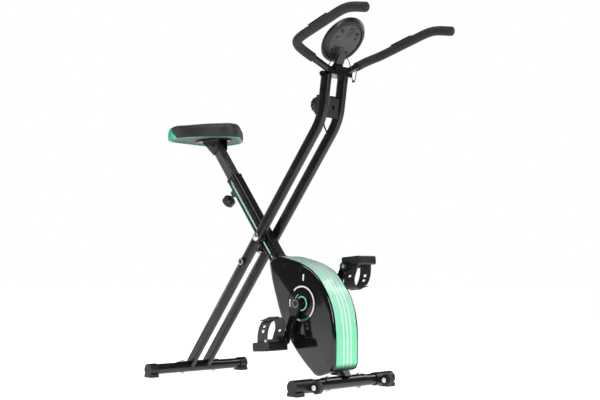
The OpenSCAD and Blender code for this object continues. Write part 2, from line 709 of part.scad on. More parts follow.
module cross_bracket() color(grey) on_twin(pivot_t - 74, -twin_d / 2)
  translate([-6, -tube_w / 2 + 1.5, 0]) cube([6, twin_out + tube_w / 2 - 1.5, 48]);
// Clamp at the head of the stem: the bar lies in a half bore, and the cap bolts down on it
clamp_hx = 20;
module bar_clamp() color(black) difference() {
  at([clamp[0], clamp_z]) translate([-clamp_hx - 8, -twin_out, 0]) cube([2 * clamp_hx + 8, 2 * twin_out, bar_r + 2.7]);
  at(clamp) along_y(bar_r, -40, 40);
  for (k = [-1, 1]) at(clamp) translate([0, k * 30, 0]) rotate([-30 * k, 0, 0])
    along_y(bar_r + 1, -40, 60);
}
cap_hy = 28;
module clamp_cap() color(black) {
  difference() {
    at(clamp) translate([-clamp_hx, -cap_hy, 0.3]) cube([2 * clamp_hx, 2 * cap_hy, bar_r + 4]);
    at(clamp) along_y(bar_r, -60, 60);
  }
  // clamp bolt's round head, on the rider's side
  at([clamp[0] - clamp_hx - 8, clamp[1] - 4], -36) rotate([0, -90, 0]) cylinder(h = 8, r = 9);
}

tu_front = -8;
tu_back = -47;
tu_hw = 25;
tu_lo = 14;
tu_hi = 76;
tk_l = 46;
module tension_unit() color(black) difference() {
  on_stem(tu_lo) translate([tu_back, -tu_hw, 0]) cube([tu_front - tu_back, 2 * tu_hw, tu_hi - tu_lo]);
  on_stem(tk_l, tu_back - 1) rotate([0, 90, 0]) cylinder(h = 26, r = 6 + run);
}
tk_r = 25;
module tension_knob() color(black) on_stem(tk_l, tu_back) rotate([0, -90, 0]) {
  translate([0, 0, -24]) cylinder(h = 26, r = 6);
  difference() {
    translate([0, 0, gap]) cylinder(h = 22, r = tk_r);
    for (a = [0:30:330]) rotate([0, 0, a]) translate([tk_r + 2, 0, 6]) cylinder(h = 30, r = 4);
  }
}
pin_head = 12;
module lock_pin() color(black) on_twin(pivot_t - lock_reach) {
  along_y(lock_r, -twin_out - 1, -tube_w / 2 + 2);
  along_y(pin_head, -twin_out - 12, -twin_out - gap);
  along_y(pin_head + 3, -twin_out - 3, -twin_out - gap);
}

// Cables: each is swept along points chosen by hand
function unit(v) = v / norm(v);
function along(p, i) = unit(p[min(i + 1, len(p) - 1)] - p[max(i - 1, 0)]);
module sweep(p, r, sides = 8) {
  rows = [
    for (i = [0:len(p) - 1])
      let (t = along(p, i), u = unit(cross(t, [0.3, 1, 0.2])), v = cross(t, u))
      [for (j = [0:sides - 1]) p[i] + r * (cos(360 * j / sides) * u + sin(360 * j / sides) * v)]
  ];
  polyhedron(
    points = [for (row = rows) each row],
    faces = concat(
      [[for (j = [0:sides - 1]) j]],
      [for (i = [0:len(p) - 2], j = [0:sides - 1])
        [i * sides + j, (i + 1) * sides + j, (i + 1) * sides + (j + 1) % sides, i * sides + (j + 1) % sides]],
      [[for (j = [sides - 1:-1:0]) (len(p) - 1) * sides + j]]
    )
  );
}
cable_y = 27;
cable_pts = [
  [275, 8, 866], [268, 10, 850], [264, 14, 836], [264, 22, 822], [262, 30, 811], [254, 37, 797],
  [240, 38, 780], [200, 38, 724], [150, 38, 661], [100, 38, 599], [50, 38, 538], [28, 38, 519],
  [8, 38, 503], [-2, 38, 492], [-11, 38, 481], [-19, 37, 467], [-23, 33, 456], [-22, 28, 451],
  [-20, 24, 445], [-14, 24, 440], [0, 24, 435], [30, 24, 430], [60, 25, 424],
  [84, 27, 418], [104, 28, 408], [122, 30, 390], [142, 32, 356], [162, 33, 320], [182, 34, 286],
  [200, 34, 258], [212, 34, 240]
];
lead_pts = [
  [322, -14, 1036], [316, -17, 1022], [307, -19, 1006], [304, -20, 992], [304, -20, 978],
  [307, -21, 962], [311, -22, 948], [314, -21, 936], [316, -24, 927], [316, -31, 921], [313, -37, 908],
  [308, -38, 880], [298, -38, 847], [272, -38, 810], [240, -38, 772], [190, -38, 710], [140, -38, 649],
  [90, -38, 587], [50, -38, 538], [28, -38, 519], [8, -38, 503], [-2, -38, 492], [-11, -38, 481],
  [-20, -37, 466], [-23, -33, 456], [-23, -28, 450], [-20, -25, 443], [-12, -25, 437], [4, -25, 431],
  [30, -25, 427], [56, -25, 423], [84, -27, 418], [104, -29, 408], [124, -38, 394],
  [146, -48, 372], [160, -52, 344], [169, -52, 326], [172, -50, 316]
];
// From the console's back, past the bar, round a hanging loop and along to the left grip
pulse_pts = [
  [342.6, 36, 1045.4], [344, 40, 1040], [345, 46, 1031], [343, 50, 1024], [344, 52, 1018], [347, 53, 1010],
  [348, 54, 998], [348, 54, 986], [350, 54, 977], [355, 53, 972], [360, 54, 975], [361, 57, 984],
  [358, 62, 995], [352, 71, 1005], [345, 82, 1014], [341, 90, 1022], [339, 96, 1027]
];
pulse_plug = [355, 53, 971];
module tension_cable() color(black) world() sweep(cable_pts, 2.4);
module sensor_lead() color(black) world() sweep(lead_pts, 1.5);
module pulse_lead() color(black) world() {
  sweep(pulse_pts, 1.4);
  translate(pulse_plug) cube([9, 6, 6], center = true);
}

// ---------- Handlebar ----------
// A round run through points, with a slightly proud knuckle at each bend
module bar_run(p, r) for (i = [0:len(p) - 2]) {
  d = unit(p[i + 1] - p[i]);
  translate(p[i]) rotate([0, acos(d[2]), atan2(d[1], d[0])]) cylinder(h = norm(p[i + 1] - p[i]), r = r);
  if (i > 0) translate(p[i]) rotate([0, acos(d[2]), atan2(d[1], d[0])]) sphere(r + knuckle);
}
// The whole bar from one tip to the other, with one straight run through the clamp
bar_line = concat(
  [for (i = [bar_tip:-1:1]) [bar_pts[i][0], -bar_pts[i][1], bar_pts[i][2]]],
  [for (i = [1:bar_tip]) bar_pts[i]]
);
bar_wall = 2.6;
module handlebar() color(black) at(clamp) difference() {
  bar_run(bar_line, bar_r);
  bar_run(bar_line, bar_r - bar_wall);
}
grip_pts = concat([grip_from], [for (i = [2:bar_tip]) bar_pts[i]]);
grip_end = concat([for (i = [0:len(grip_pts) - 2]) grip_pts[i]], [bar_pts[bar_tip] + plug_t * tip_dir]);
// Foam sleeve with a closed end: its hole stops at the end of the bar
module grip(k) at(clamp) mirror([0, k, 0]) difference() {
  bar_run(grip_end, grip_r);
  bar_run(grip_pts, bar_r + 0.1);
}
module grip_right() color(black) grip(1);
module grip_left() color(black) grip(0);
// Slim plates held just above each grip
module pulse_sensors() color(grey) for (k = [0, 1]) at(clamp) mirror([0, k, 0]) {
  d = unit(bar_pts[5] - bar_pts[4]);
  translate(bar_pts[4]) rotate([0, acos(d[2]), atan2(d[1], d[0])]) difference() {
    translate([0, 0, 50]) cylinder(h = 78, r = grip_r + 3.5);
    translate([0, 0, 40]) cylinder(h = 98, r = grip_r);
    translate([-14, -40, 0]) cube([60, 80, 200]);
  }
}
// Console: a dished disc that faces the rider, on a bracket that rises from the clamp
console_at = [clamp[0] + 24, clamp[1] + 98];
face_tilt = 47.5;
case_d = 20;
module on_console() at(console_at) rotate([0, -face_tilt, 0]) children();
module console_case() color(black) difference() {
  on_console() {
    translate([0, 0, -case_d]) cylinder(h = case_d, r1 = console_r - 16, r2 = console_r);
    cylinder(h = 6, r = console_r);
  }
  on_console() translate([-6, -30, 4]) cube([46, 60, 4]);
  on_console() translate([-44, 0, -2]) cylinder(h = 12, r = button_r + run);
}
button_r = 9;
module console_button() color(steel) on_console() translate([-44, 0, 0.5]) cylinder(h = 7.5, r = button_r);
module console_bracket() color(black) difference() {
  hull() {
    at([clamp[0] - 3, clamp[1] + bar_r + 4.3]) translate([-7, -17, 0]) cube([14, 34, 2]);
    on_console() translate([-44, -15, -case_d - 10]) cube([16, 30, 2]);
  }
  on_console() translate([-100, -100, -case_d]) cube([200, 200, 60]);
}

seat_tube();
seat_collar();
lock_arm();
front_stabiliser();
front_cap_right();
front_cap_left();
front_saddle();
front_bolts();
casing_right();
casing_left();
casing_band();
casing_screws();
pivot_bolt();
pivot_bushes();
drive_belt();
speed_sensor();
crank_axle();
drive_pulley();
crank_arm_right();
crank_arm_left();
pedal_spindles();
pedal_right();
strap_right();
pedal_left();
strap_left();
flywheel();
flywheel_axle();
brake_arm();
brake_magnets();
seat_post();
seat_bracket();
seat_base();
seat_cushion();
height_knob();
twin_tube_right();
twin_tube_left();
bend_plate();
cross_bracket();
bar_clamp();
clamp_cap();
rear_stabiliser();
rear_cap_right();
rear_cap_left();
rear_saddle();
rear_bolts();
tension_unit();
tension_cable();
sensor_lead();
pulse_lead();
tension_knob();
lock_pin();
wheel_right();
wheel_left();
handlebar();
grip_right();
grip_left();
pulse_sensors();
console_case();
console_bracket();
console_button();
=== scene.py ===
"""Looks of a folding exercise bike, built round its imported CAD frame.

Lengths in the part functions are millimetres in the bike's own measure: x forwards from the
middle of the wheelbase, y to the rider's left, z up from the floor. P() turns them into metres
in the frame.
"""
import json
import math

import bmesh
import bpy
from mathutils import Matrix, Vector


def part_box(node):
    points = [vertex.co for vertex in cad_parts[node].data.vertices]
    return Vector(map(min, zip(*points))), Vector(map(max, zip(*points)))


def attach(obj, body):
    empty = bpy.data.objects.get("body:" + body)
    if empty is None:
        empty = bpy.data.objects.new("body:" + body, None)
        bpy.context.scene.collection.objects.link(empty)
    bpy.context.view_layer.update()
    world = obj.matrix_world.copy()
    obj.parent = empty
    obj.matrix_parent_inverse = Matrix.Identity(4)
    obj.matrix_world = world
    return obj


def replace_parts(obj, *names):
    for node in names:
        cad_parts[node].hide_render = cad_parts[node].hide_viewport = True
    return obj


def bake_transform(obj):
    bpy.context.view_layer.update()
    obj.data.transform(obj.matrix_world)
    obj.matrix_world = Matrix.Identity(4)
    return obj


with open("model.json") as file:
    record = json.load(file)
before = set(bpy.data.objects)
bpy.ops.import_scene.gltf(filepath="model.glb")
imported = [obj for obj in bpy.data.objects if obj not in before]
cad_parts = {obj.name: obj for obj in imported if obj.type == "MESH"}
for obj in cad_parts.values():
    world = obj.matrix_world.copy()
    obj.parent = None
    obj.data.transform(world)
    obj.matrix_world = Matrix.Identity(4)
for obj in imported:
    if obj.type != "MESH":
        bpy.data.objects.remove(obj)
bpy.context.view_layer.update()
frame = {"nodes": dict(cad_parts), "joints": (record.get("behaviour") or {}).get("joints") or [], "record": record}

MM = 0.001
TAU = 2 * math.pi


def middle(node):
    """Centre of a CAD node's box."""
    low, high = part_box(node)
    return (low + high) / 2


MID_X = (middle("front_stabiliser").x + middle("rear_stabiliser").x) / 2


def P(x, y, z):
    """A point in the frame, in metres, from millimetres in the bike's own measure."""
    return Vector((MID_X + x * MM, y * MM, z * MM))


def joint_mm(name):
    """Where a joint is, as (x, z) in the bike's own measure."""
    pos = next(j for j in frame["joints"] if j["name"] == name)["pos_m"]
    return (pos[0] - MID_X) / MM, pos[2] / MM


SEAT_TILT = math.radians(-38.1)
TWIN_TILT = math.radians(39.05)
STEM_TILT = math.radians(8.7)
SEAT_FOOT = (366.3, 27)
TWIN_FOOT = (-363.4, 27)
TWIN_LEN = 1058
TWIN_Y = 37.4
TWIN_SECTION = (20, 35, 6)
SHARP = 35
CRANK = joint_mm("crank_spin")


def on_line(foot, tilt, s, n=0):
    """(x, z) at s up a leaning line and n square to it, forwards."""
    return (foot[0] + s * math.sin(tilt) + n * math.cos(tilt),
            foot[1] + s * math.cos(tilt) - n * math.sin(tilt))


BEND = on_line(TWIN_FOOT, TWIN_TILT, TWIN_LEN)
CLAMP = on_line(BEND, STEM_TILT, 150.5, 10)


# ---------------------------------------------------------------- materials

class Nodes:
    """A material's node tree, with short ways to add and join nodes."""

    def __init__(self, name):
        self.mat = bpy.data.materials.new(name)
        self.mat.use_nodes = True
        self.tree = self.mat.node_tree
        self.shader = self.tree.nodes["Principled BSDF"]
        self.coords = self.add("ShaderNodeTexCoord").outputs["Object"]

    def add(self, kind, **values):
        """A node of a kind, with sockets and settings given by name."""
        node = self.tree.nodes.new(kind)
        for key, value in values.items():
            if key in node.inputs:
                node.inputs[key].default_value = value
            else:
                setattr(node, key, value)
        return node

    def link(self, out, into):
        """Joins an output to an input."""
        self.tree.links.new(out, into)

    def noise(self, scale, detail):
        """Soft noise, so many lumps to the metre."""
        node = self.add("ShaderNodeTexNoise", Scale=scale, Detail=detail, Roughness=0.5)
        self.link(self.coords, node.inputs["Vector"])
        return node.outputs["Fac"]

    def cells(self, scale):
        """Round cells, so many to the metre."""
        node = self.add("ShaderNodeTexVoronoi", Scale=scale, feature="F1")
        self.link(self.coords, node.inputs["Vector"])
        return node.outputs["Distance"]

    def remap(self, value, low, high, start=0.3, end=0.7):
        """Turns start to end into low to high, and holds it there outside."""
        node = self.add("ShaderNodeMapRange", **{
            "From Min": start, "From Max": end, "To Min": low, "To Max": high})
        self.link(value, node.inputs["Value"])
        return node.outputs["Result"]

    def mix(self, fac, a, b):
        """A colour from a to b, each a plain colour or another node's output."""
        node = self.add("ShaderNodeMix", data_type="RGBA")
        self.link(fac, node.inputs["Factor"])
        for value, name in ((a, "A"), (b, "B")):
            socket = next(s for s in node.inputs if s.name == name and s.type == "RGBA")
            if isinstance(value, tuple):
                socket.default_value = (*value, 1)
            else:
                self.link(value, socket)
        return next(s for s in node.outputs if s.type == "RGBA")

    def bump(self, *layers, edge=0.0006):
        """Stacks bump layers, each (height, strength, depth in metres), on softened edges."""
        normal = None
        if edge:
            normal = self.add("ShaderNodeBevel", Radius=edge, samples=4).outputs["Normal"]
        for height, strength, depth in layers:
            node = self.add("ShaderNodeBump", Strength=strength, Distance=depth)
            self.link(height, node.inputs["Height"])
            if normal:
                self.link(normal, node.inputs["Normal"])
            normal = node.outputs["Normal"]
        self.link(normal, self.shader.inputs["Normal"])


def finish(name, base, rough, metal=0.0, coat=0.0, vary=0.25, grain=(1400, 0.1, 0.0002),
           pores=None, sheen=0.0, edge=0.0006, spread=0.08, specular=0.5):
    """A surface with grain, small changes of tone, and patches that shine a little more or less."""
    m = Nodes(name)
    blotch = m.noise(9, 4)
    light = tuple(min(1, c * (1 + vary)) for c in base)
    dark = tuple(c * (1 - vary) for c in base)
    m.link(m.mix(m.remap(blotch, 0.0, 1.0), dark, light), m.shader.inputs["Base Color"])
    m.link(m.remap(m.noise(38, 3), rough - spread, rough + spread), m.shader.inputs["Roughness"])
    m.shader.inputs["Metallic"].default_value = metal
    m.shader.inputs["Specular IOR Level"].default_value = specular
    m.shader.inputs["Coat Weight"].default_value = coat
    m.shader.inputs["Coat Roughness"].default_value = 0.06
    m.shader.inputs["Sheen Weight"].default_value = sheen
    layers = [(m.noise(grain[0], 3), grain[1], grain[2])]
    if pores:
        layers.append((m.cells(pores[0]), pores[1], pores[2]))
    m.bump(*layers, edge=edge)
    return m


def brushed(name, base, rough):
    """Turned or brushed metal: fine lines round the bike's sideways axis."""
    m = finish(name, base, rough, metal=1.0, vary=0.08, grain=(700, 0.05, 0.0001))
    stretch = m.add("ShaderNodeMapping")
    stretch.inputs["Scale"].default_value = (1, 60, 1)
    m.link(m.coords, stretch.inputs["Vector"])
    lines = m.add("ShaderNodeTexNoise", Scale=90, Detail=2)
    m.link(stretch.outputs["Vector"], lines.inputs["Vector"])
    m.link(m.remap(lines.outputs["Fac"], rough - 0.1, rough + 0.12), m.shader.inputs["Roughness"])
    return m


def band_finish():
    """Mint gloss with white stripes along it, paler to the top, dark at its foot."""
    m = finish("mint_gloss", (0.24, 0.86, 0.58), 0.22, coat=0.2, vary=0.04,
               grain=(500, 0.02, 0.0001), specular=0.3, edge=0)
    split = m.add("ShaderNodeSeparateXYZ")
    m.link(m.coords, split.inputs["Vector"])
    across, up = split.outputs["Y"], split.outputs["Z"]
    colour = m.mix(m.remap(up, 0.0, 1.0, 0.14, 0.37), (0.20, 0.80, 0.44), (0.50, 0.86, 0.70))
    for centre in STRIPES:
        stripe = m.add("ShaderNodeMath", operation="COMPARE")
        stripe.inputs[1].default_value = centre
        stripe.inputs[2].default_value = STRIPE_HALF
        m.link(across, stripe.inputs[0])
        colour = m.mix(stripe.outputs[0], colour, (0.86, 0.93, 0.90))
    green = m.mix(m.remap(up, 1.0, 0.0, 0.074, 0.086), colour, (0.012, 0.10, 0.06))
    m.link(m.mix(m.remap(up, 1.0, 0.0, 0.064, 0.072), green, (0.008, 0.009, 0.009)),
           m.shader.inputs["Base Color"])
    return m


def decal(name, base):
    """A printed mark: one colour with a faint mottle and a clear coat."""
    return finish(name, base, 0.3, coat=0.4, vary=0.05, grain=(900, 0.02, 0.0001), edge=0)


STRIPES = (-0.0148, 0.0020, 0.0188)
STRIPE_HALF = 0.0023
FINISHES = {
    "frame_black": finish("frame_black", (0.006, 0.006, 0.007), 0.20, coat=0.15, spread=0.04, specular=0.4,
                          grain=(500, 0.01, 0.0001), edge=0),
    "bracket_grey": finish("bracket_grey", (0.035, 0.035, 0.037), 0.40, coat=0.1),
    "black_plastic": finish("black_plastic", (0.010, 0.010, 0.011), 0.38, specular=0.4,
                            grain=(1500, 0.08, 0.0002)),
    "gloss_black": finish("gloss_black", (0.005, 0.005, 0.006), 0.10, coat=0.5, spread=0.03, specular=0.35,
                          grain=(14, 0.02, 0.002), edge=0),
    "mint": band_finish(),
    "teal": finish("teal", (0.030, 0.50, 0.33), 0.38, coat=0.1, vary=0.08, grain=(1500, 0.12, 0.0002)),
    "zinc_steel": brushed("zinc_steel", (0.66, 0.67, 0.69), 0.28),
    "flywheel_iron": brushed("flywheel_iron", (0.28, 0.28, 0.29), 0.45),
    "pulley_plastic": finish("pulley_plastic", (0.06, 0.06, 0.063), 0.5),
    "arm_steel": finish("arm_steel", (0.030, 0.030, 0.032), 0.34, coat=0.25),
    "belt_rubber": finish("belt_rubber", (0.018, 0.018, 0.018), 0.7, grain=(1200, 0.3, 0.0003)),
    "strap_rubber": finish("strap_rubber", (0.026, 0.026, 0.027), 0.58, grain=(1500, 0.3, 0.0003), sheen=0.1),
    "wheel_rubber": finish("wheel_rubber", (0.022, 0.022, 0.022), 0.62, grain=(1300, 0.35, 0.0004)),
    "foam": finish("foam", (0.009, 0.009, 0.010), 0.66, grain=(1900, 0.3, 0.0004),
                   pores=(1100, 0.4, 0.0005), sheen=0.04, specular=0.4, edge=0.0),
    "cushion_vinyl": finish("cushion_vinyl", (0.020, 0.020, 0.022), 0.52, grain=(260, 0.12, 0.0006),
                            pores=(620, 0.35, 0.0005), sheen=0.06, specular=0.4, edge=0.0),
    "sensor_chrome": brushed("sensor_chrome", (0.62, 0.63, 0.65), 0.16),
    "button_grey": finish("button_grey", (0.30, 0.31, 0.32), 0.42),
    "white_mark": decal("white_mark", (0.86, 0.88, 0.87)),
    "mint_mark": decal("mint_mark", (0.30, 0.86, 0.60)),
    "green_mark": decal("green_mark", (0.02, 0.18, 0.11)),
    "back_grey": finish("back_grey", (0.022, 0.022, 0.024), 0.40, coat=0.1),
    # near-black painted shade that stands for the depth of the casing screws' wells
    "hole": finish("hole", (0.003, 0.003, 0.003), 0.6, edge=0),
    "lcd": finish("lcd", (0.20, 0.23, 0.20), 0.16, coat=1.0, vary=0.05, grain=(900, 0.02, 0.0001)),
}


def mat(name):
    """The material of a finish."""
    return FINISHES[name].mat


for part in frame["record"]["subparts"]:
    data = frame["nodes"][part["node"]].data
    data.materials.clear()
    data.materials.append(mat(part["material_slot"]))


# ---------------------------------------------------------------- building

def piece(name, verts, faces, look, body, sharp=SHARP):
    """A new mesh that rides on a body and takes its finish from a slot."""
    data = bpy.data.meshes.new(name)
    data.from_pydata([tuple(v) for v in verts], [], faces)
    mesh = bmesh.new()
    mesh.from_mesh(data)
    bmesh.ops.remove_doubles(mesh, verts=mesh.verts, dist=1e-6)
    bmesh.ops.recalc_face_normals(mesh, faces=mesh.faces)
    mesh.to_mesh(data)
    mesh.free()
    data.shade_smooth()
    data.set_sharp_from_angle(angle=math.radians(sharp))
    obj = bpy.data.objects.new(name, data)
    bpy.context.scene.collection.objects.link(obj)
    obj.data.materials.append(mat(look))
    if body:
        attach(obj, body)
    return obj


def modify(obj, kind, **values):
    """Adds a modifier and applies it at once."""
    mod = obj.modifiers.new(kind.lower(), kind)
    for key, value in values.items():
        setattr(mod, key, value)
    graph = bpy.context.evaluated_depsgraph_get()
    data = bpy.data.meshes.new_from_object(obj.evaluated_get(graph))
    obj.modifiers.clear()
    obj.data = data
    obj.data.shade_smooth()
    obj.data.set_sharp_from_angle(angle=math.radians(SHARP))
    return obj


def circle(r, n):
    """Outline of a circle with n corners."""
    return [(r * math.cos(TAU * i / n), r * math.sin(TAU * i / n)) for i in range(n)]


def round_rect(w, h, r, n=5):
    """Outline of a rectangle with round corners."""
    out = []
    for k, (sx, sy) in enumerate(((1, 1), (-1, 1), (-1, -1), (1, -1))):
        for i in range(n + 1):
            a = math.pi / 2 * (k + i / n)
            out.append((sx * (w / 2 - r) + r * math.cos(a), sy * (h / 2 - r) + r * math.sin(a)))
    return out


def eased(points, radius, steps=8):
    """A run of points with each corner turned into a curve that starts `radius` from it."""
    out = [points[0]]
    for a, b, c in zip(points, points[1:], points[2:]):
        back, on = a - b, c - b
        reach_back = min(radius, back.length * 0.45)
        reach_on = min(radius, on.length * 0.45)
        start, end = b + back.normalized() * reach_back, b + on.normalized() * reach_on
        for i in range(steps + 1):
            t = i / steps
            out.append(start * (1 - t) ** 2 + b * 2 * t * (1 - t) + end * t * t)
    out.append(points[-1])
    return out


def spline(points, steps=4):
    """A smooth curve through every point."""
    ends = [points[0] * 2 - points[1], *points, points[-1] * 2 - points[-2]]
    out = []
    for a, b, c, d in zip(ends, ends[1:], ends[2:], ends[3:]):
        for i in range(steps):
            t = i / steps
            out.append(0.5 * (2 * b + (c - a) * t + (2 * a - 5 * b + 4 * c - d) * t * t
                              + (3 * b - a - 3 * c + d) * t ** 3))
    return out + [points[-1]]


def grid(rows, cols, closed=True):
    """Faces of a net of points laid row by row, each row a ring or an open line."""
    last = cols if closed else cols - 1
    return [(r * cols + i, r * cols + (i + 1) % cols, (r + 1) * cols + (i + 1) % cols, (r + 1) * cols + i)
            for r in range(rows - 1) for i in range(last)]


def caps(count, n):
    """The faces that close a stack of rings of n points at its first and last ring."""
    return [tuple(range(n)), tuple(range(count - n, count))]


def sweep(name, path, profile, look, body, scale=None, first=(0, 1, 0)):
    """A closed solid: a profile (u, v) carried along a path, with u starting along `first`."""
    rings = []
    side = Vector(first)
    for i, point in enumerate(path):
        ahead = (path[min(i + 1, len(path) - 1)] - path[max(i - 1, 0)]).normalized()
        side = (side - ahead * side.dot(ahead)).normalized()
        across = ahead.cross(side)
        k = scale[i] if scale else 1
        rings.append([point + (side * u + across * v) * (k * MM) for u, v in profile])
    verts = [v for ring in rings for v in ring]
    faces = grid(len(rings), len(profile)) + caps(len(verts), len(profile))
    return piece(name, verts, faces, look, body)


def lathe(name, profile, centre, axis, look, body, sides):
    """A solid turned round an axis: the profile is (radius, height) pairs in millimetres."""
    turn = Vector((0, 0, 1)).rotation_difference(Vector(axis)).to_matrix()
    verts, faces, rows = [], [], []
    for r, h in profile:
        if r < 1e-6:
            rows.append([len(verts)] * sides)
            verts.append(centre + turn @ Vector((0, 0, h * MM)))
        else:
            rows.append([len(verts) + i for i in range(sides)])
            verts += [centre + turn @ Vector((r * MM * math.cos(TAU * i / sides),
                                              r * MM * math.sin(TAU * i / sides), h * MM))
                      for i in range(sides)]
    for a, b in zip(rows, rows[1:]):
        for i in range(sides):
            j = (i + 1) % sides
            quad = [a[i], a[j], b[j], b[i]]
            face = [v for k, v in enumerate(quad) if v not in quad[:k]]
            if len(face) > 2:
                faces.append(tuple(face))
    return piece(name, verts, faces, look, body)


def block(name, size, place, look, body, bevel):
    """A box of a size in millimetres with rounded edges, placed by a matrix."""
    mesh = bmesh.new()
    bmesh.ops.create_cube(mesh, size=1, matrix=Matrix.Diagonal((*[s * MM for s in size], 1)))
    bmesh.ops.bevel(mesh, geom=mesh.edges[:] + mesh.verts[:], offset=bevel * MM, segments=3,
                    affect="EDGES", profile=0.5)
    bmesh.ops.transform(mesh, matrix=place, verts=mesh.verts)
    verts = [v.co.copy() for v in mesh.verts]
    faces = [tuple(v.index for v in f.verts) for f in mesh.faces]
    mesh.free()
    return piece(name, verts, faces, look, body)


def join(name, pieces):
    """Several pieces as one object, on the first one's body."""
    target = pieces[0]
    mesh = bmesh.new()
    for obj in pieces:
        mesh.from_mesh(obj.data)
    data = bpy.data.meshes.new(name)
    mesh.to_mesh(data)
    mesh.free()
    data.materials.append(target.data.materials[0])
    data.shade_smooth()
    data.set_sharp_from_angle(angle=math.radians(SHARP))
    target.data = data
    target.name = name
    for obj in pieces[1:]:
        bpy.data.objects.remove(obj)
    return target


# ---------------------------------------------------------------- frame tubes

def twin_tubes():
    """The pair of long tubes with one smooth bend below the handlebar."""
    foot = on_line(TWIN_FOOT, TWIN_TILT, 8)
    head = on_line(BEND, STEM_TILT, 139)
    for side, node in ((-1, "twin_tube_right"), (1, "twin_tube_left")):
        path = eased([P(x, side * TWIN_Y, z) for x, z in (foot, BEND, head)], 45 * MM, 14)
        tube = sweep(node + "_smooth", path, round_rect(*TWIN_SECTION), "frame_black", "rear_frame")
        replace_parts(tube, node)


BAR = [(0, 0, 0), (0, 30, 0), (-17, 152, 57), (-6, 176, 69), (20, 186, 77),
       (200, 197, 122), (236, 198, 123), (293, 198, 110)]
BAR_BEND = 26
BAR_R = 11
GRIP_R = 14.5
GRIP_START = 0.56       # how far along the bar's first run the foam starts
GRIP_PLUG = 4           # how far the foam reaches past the bar's end


def bar_side(points, side):
    """One side's points of the bar, from millimetres off the clamp."""
    return [P(CLAMP[0] + x, side * y, CLAMP[1] + z) for x, y, z in points]


def handlebar():
    """One bent steel tube, with a foam sleeve over each arm."""
    right = bar_side(BAR[1:], -1)
    left = bar_side(BAR[1:], 1)
    line = eased(right[::-1] + left, BAR_BEND * MM)
    bar = sweep("handlebar_smooth", line, circle(BAR_R, 28), "frame_black", "rear_frame", first=(0, 0, 1))
    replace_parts(bar, "handlebar")
    start = [a + GRIP_START * (b - a) for a, b in zip(BAR[1], BAR[2])]
    for side, node in ((-1, "grip_right"), (1, "grip_left")):
        run = bar_side([start, *BAR[2:]], side)
        ahead = (run[-1] - run[-2]).normalized()
        run[-1] = run[-1] + ahead * (GRIP_PLUG * MM)
        path = eased(run, BAR_BEND * MM)
        first = (path[1] - path[0]).normalized()
        lead = [path[0], path[0] + first * 0.001, path[0] + first * 0.003]
        tail = [path[-1] - ahead * d * MM for d in (6, 3, 1, 0)]
        path = lead + path[1:-1] + tail
        scale = [0.80, 0.95, 1.0] + [1.0] * (len(path) - 7) + [1.0, 0.97, 0.88, 0.70]
        grip = sweep(node + "_foam", path, circle(GRIP_R, 28), "foam", "rear_frame", scale, (0, 0, 1))
        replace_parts(grip, node)


# ---------------------------------------------------------------- casing

CASING = [
    (88, 412), (103, 418), (127, 418), (174, 408), (221, 396), (262, 378), (293, 356), (320, 326),
    (344, 291), (360, 255), (369, 216), (374, 169), (374, 123), (370, 74), (345, 58), (296, 44),
    (265, 62), (229, 92), (195, 126), (166, 165), (144, 203), (126, 243), (111, 284), (97, 324),
    (86, 364), (80, 395),
]
CASING_MID = (235, 240)
CASING_HW = 58
BAND_HW = 47
BAND_T = 2
CROWN = 3
SHOULDER = CASING_HW - BAND_HW
FACE_RINGS = 12


def closed_curve(points, steps):
    """A closed smooth outline as (x, z, inward x, inward z)."""
    n = len(points)
    dense = []
    for i in range(n):
        a, b, c, d = (points[(i + k) % n] for k in (-1, 0, 1, 2))
        for s in range(steps):
            t = s / steps
            dense.append([0.5 * (2 * b[k] + (c[k] - a[k]) * t
                                 + (2 * a[k] - 5 * b[k] + 4 * c[k] - d[k]) * t * t
                                 + (3 * b[k] - a[k] - 3 * c[k] + d[k]) * t ** 3) for k in (0, 1)])
    out = []
    for i, p in enumerate(dense):
        before, after = dense[i - 1], dense[(i + 1) % len(dense)]
        run = Vector((after[0] - before[0], after[1] - before[1])).normalized()
        out.append((p[0], p[1], run[1], -run[0]))
    return out


def casing_shells():
    """Two glossy halves: a recessed edge strip, a rounded shoulder and a slightly crowned face."""
    line = closed_curve(CASING, 5)
    for side, node in ((-1, "casing_right"), (1, "casing_left")):
        rings = [(BAND_T, 0.2), (BAND_T, BAND_HW - 0.4), (0.6, BAND_HW), (0, BAND_HW + 0.6)]
        rings += [(SHOULDER * (1 - math.cos(a)), BAND_HW + SHOULDER * math.sin(a))
                  for a in (math.pi / 2 * k / 7 for k in range(1, 8))]
        verts = [P(x + d * nx, side * y, z + d * nz) for d, y in rings for x, z, nx, nz in line]
        for k in range(1, FACE_RINGS):
            share = 1 - k / FACE_RINGS
            verts += [P(CASING_MID[0] + (x + SHOULDER * nx - CASING_MID[0]) * share,
                        side * (CASING_HW + CROWN * (1 - share ** 2) ** 1.5),
                        CASING_MID[1] + (z + SHOULDER * nz - CASING_MID[1]) * share)
                      for x, z, nx, nz in line]
        faces = grid(len(rings) + FACE_RINGS - 1, len(line)) + caps(len(verts), len(line))[1:]
        shell = piece(node + "_shell", verts, faces, "gloss_black", "front_frame", sharp=50)
        modify(shell, "SOLIDIFY", thickness=2.4 * MM, offset=-1)
        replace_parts(shell, node)


def crown_y(x, z):
    """How far out the casing's face is at a point near its middle."""
    edge = min(math.hypot(px - CASING_MID[0], pz - CASING_MID[1]) for px, pz in CASING)
    share = min(1.0, math.hypot(x - CASING_MID[0], z - CASING_MID[1]) / (edge * 1.5))
    return CASING_HW + CROWN * (1 - share ** 2) ** 1.5


BAND_FROM = 1.2         # along the casing's outline, in its points
BAND_TO = 14.2


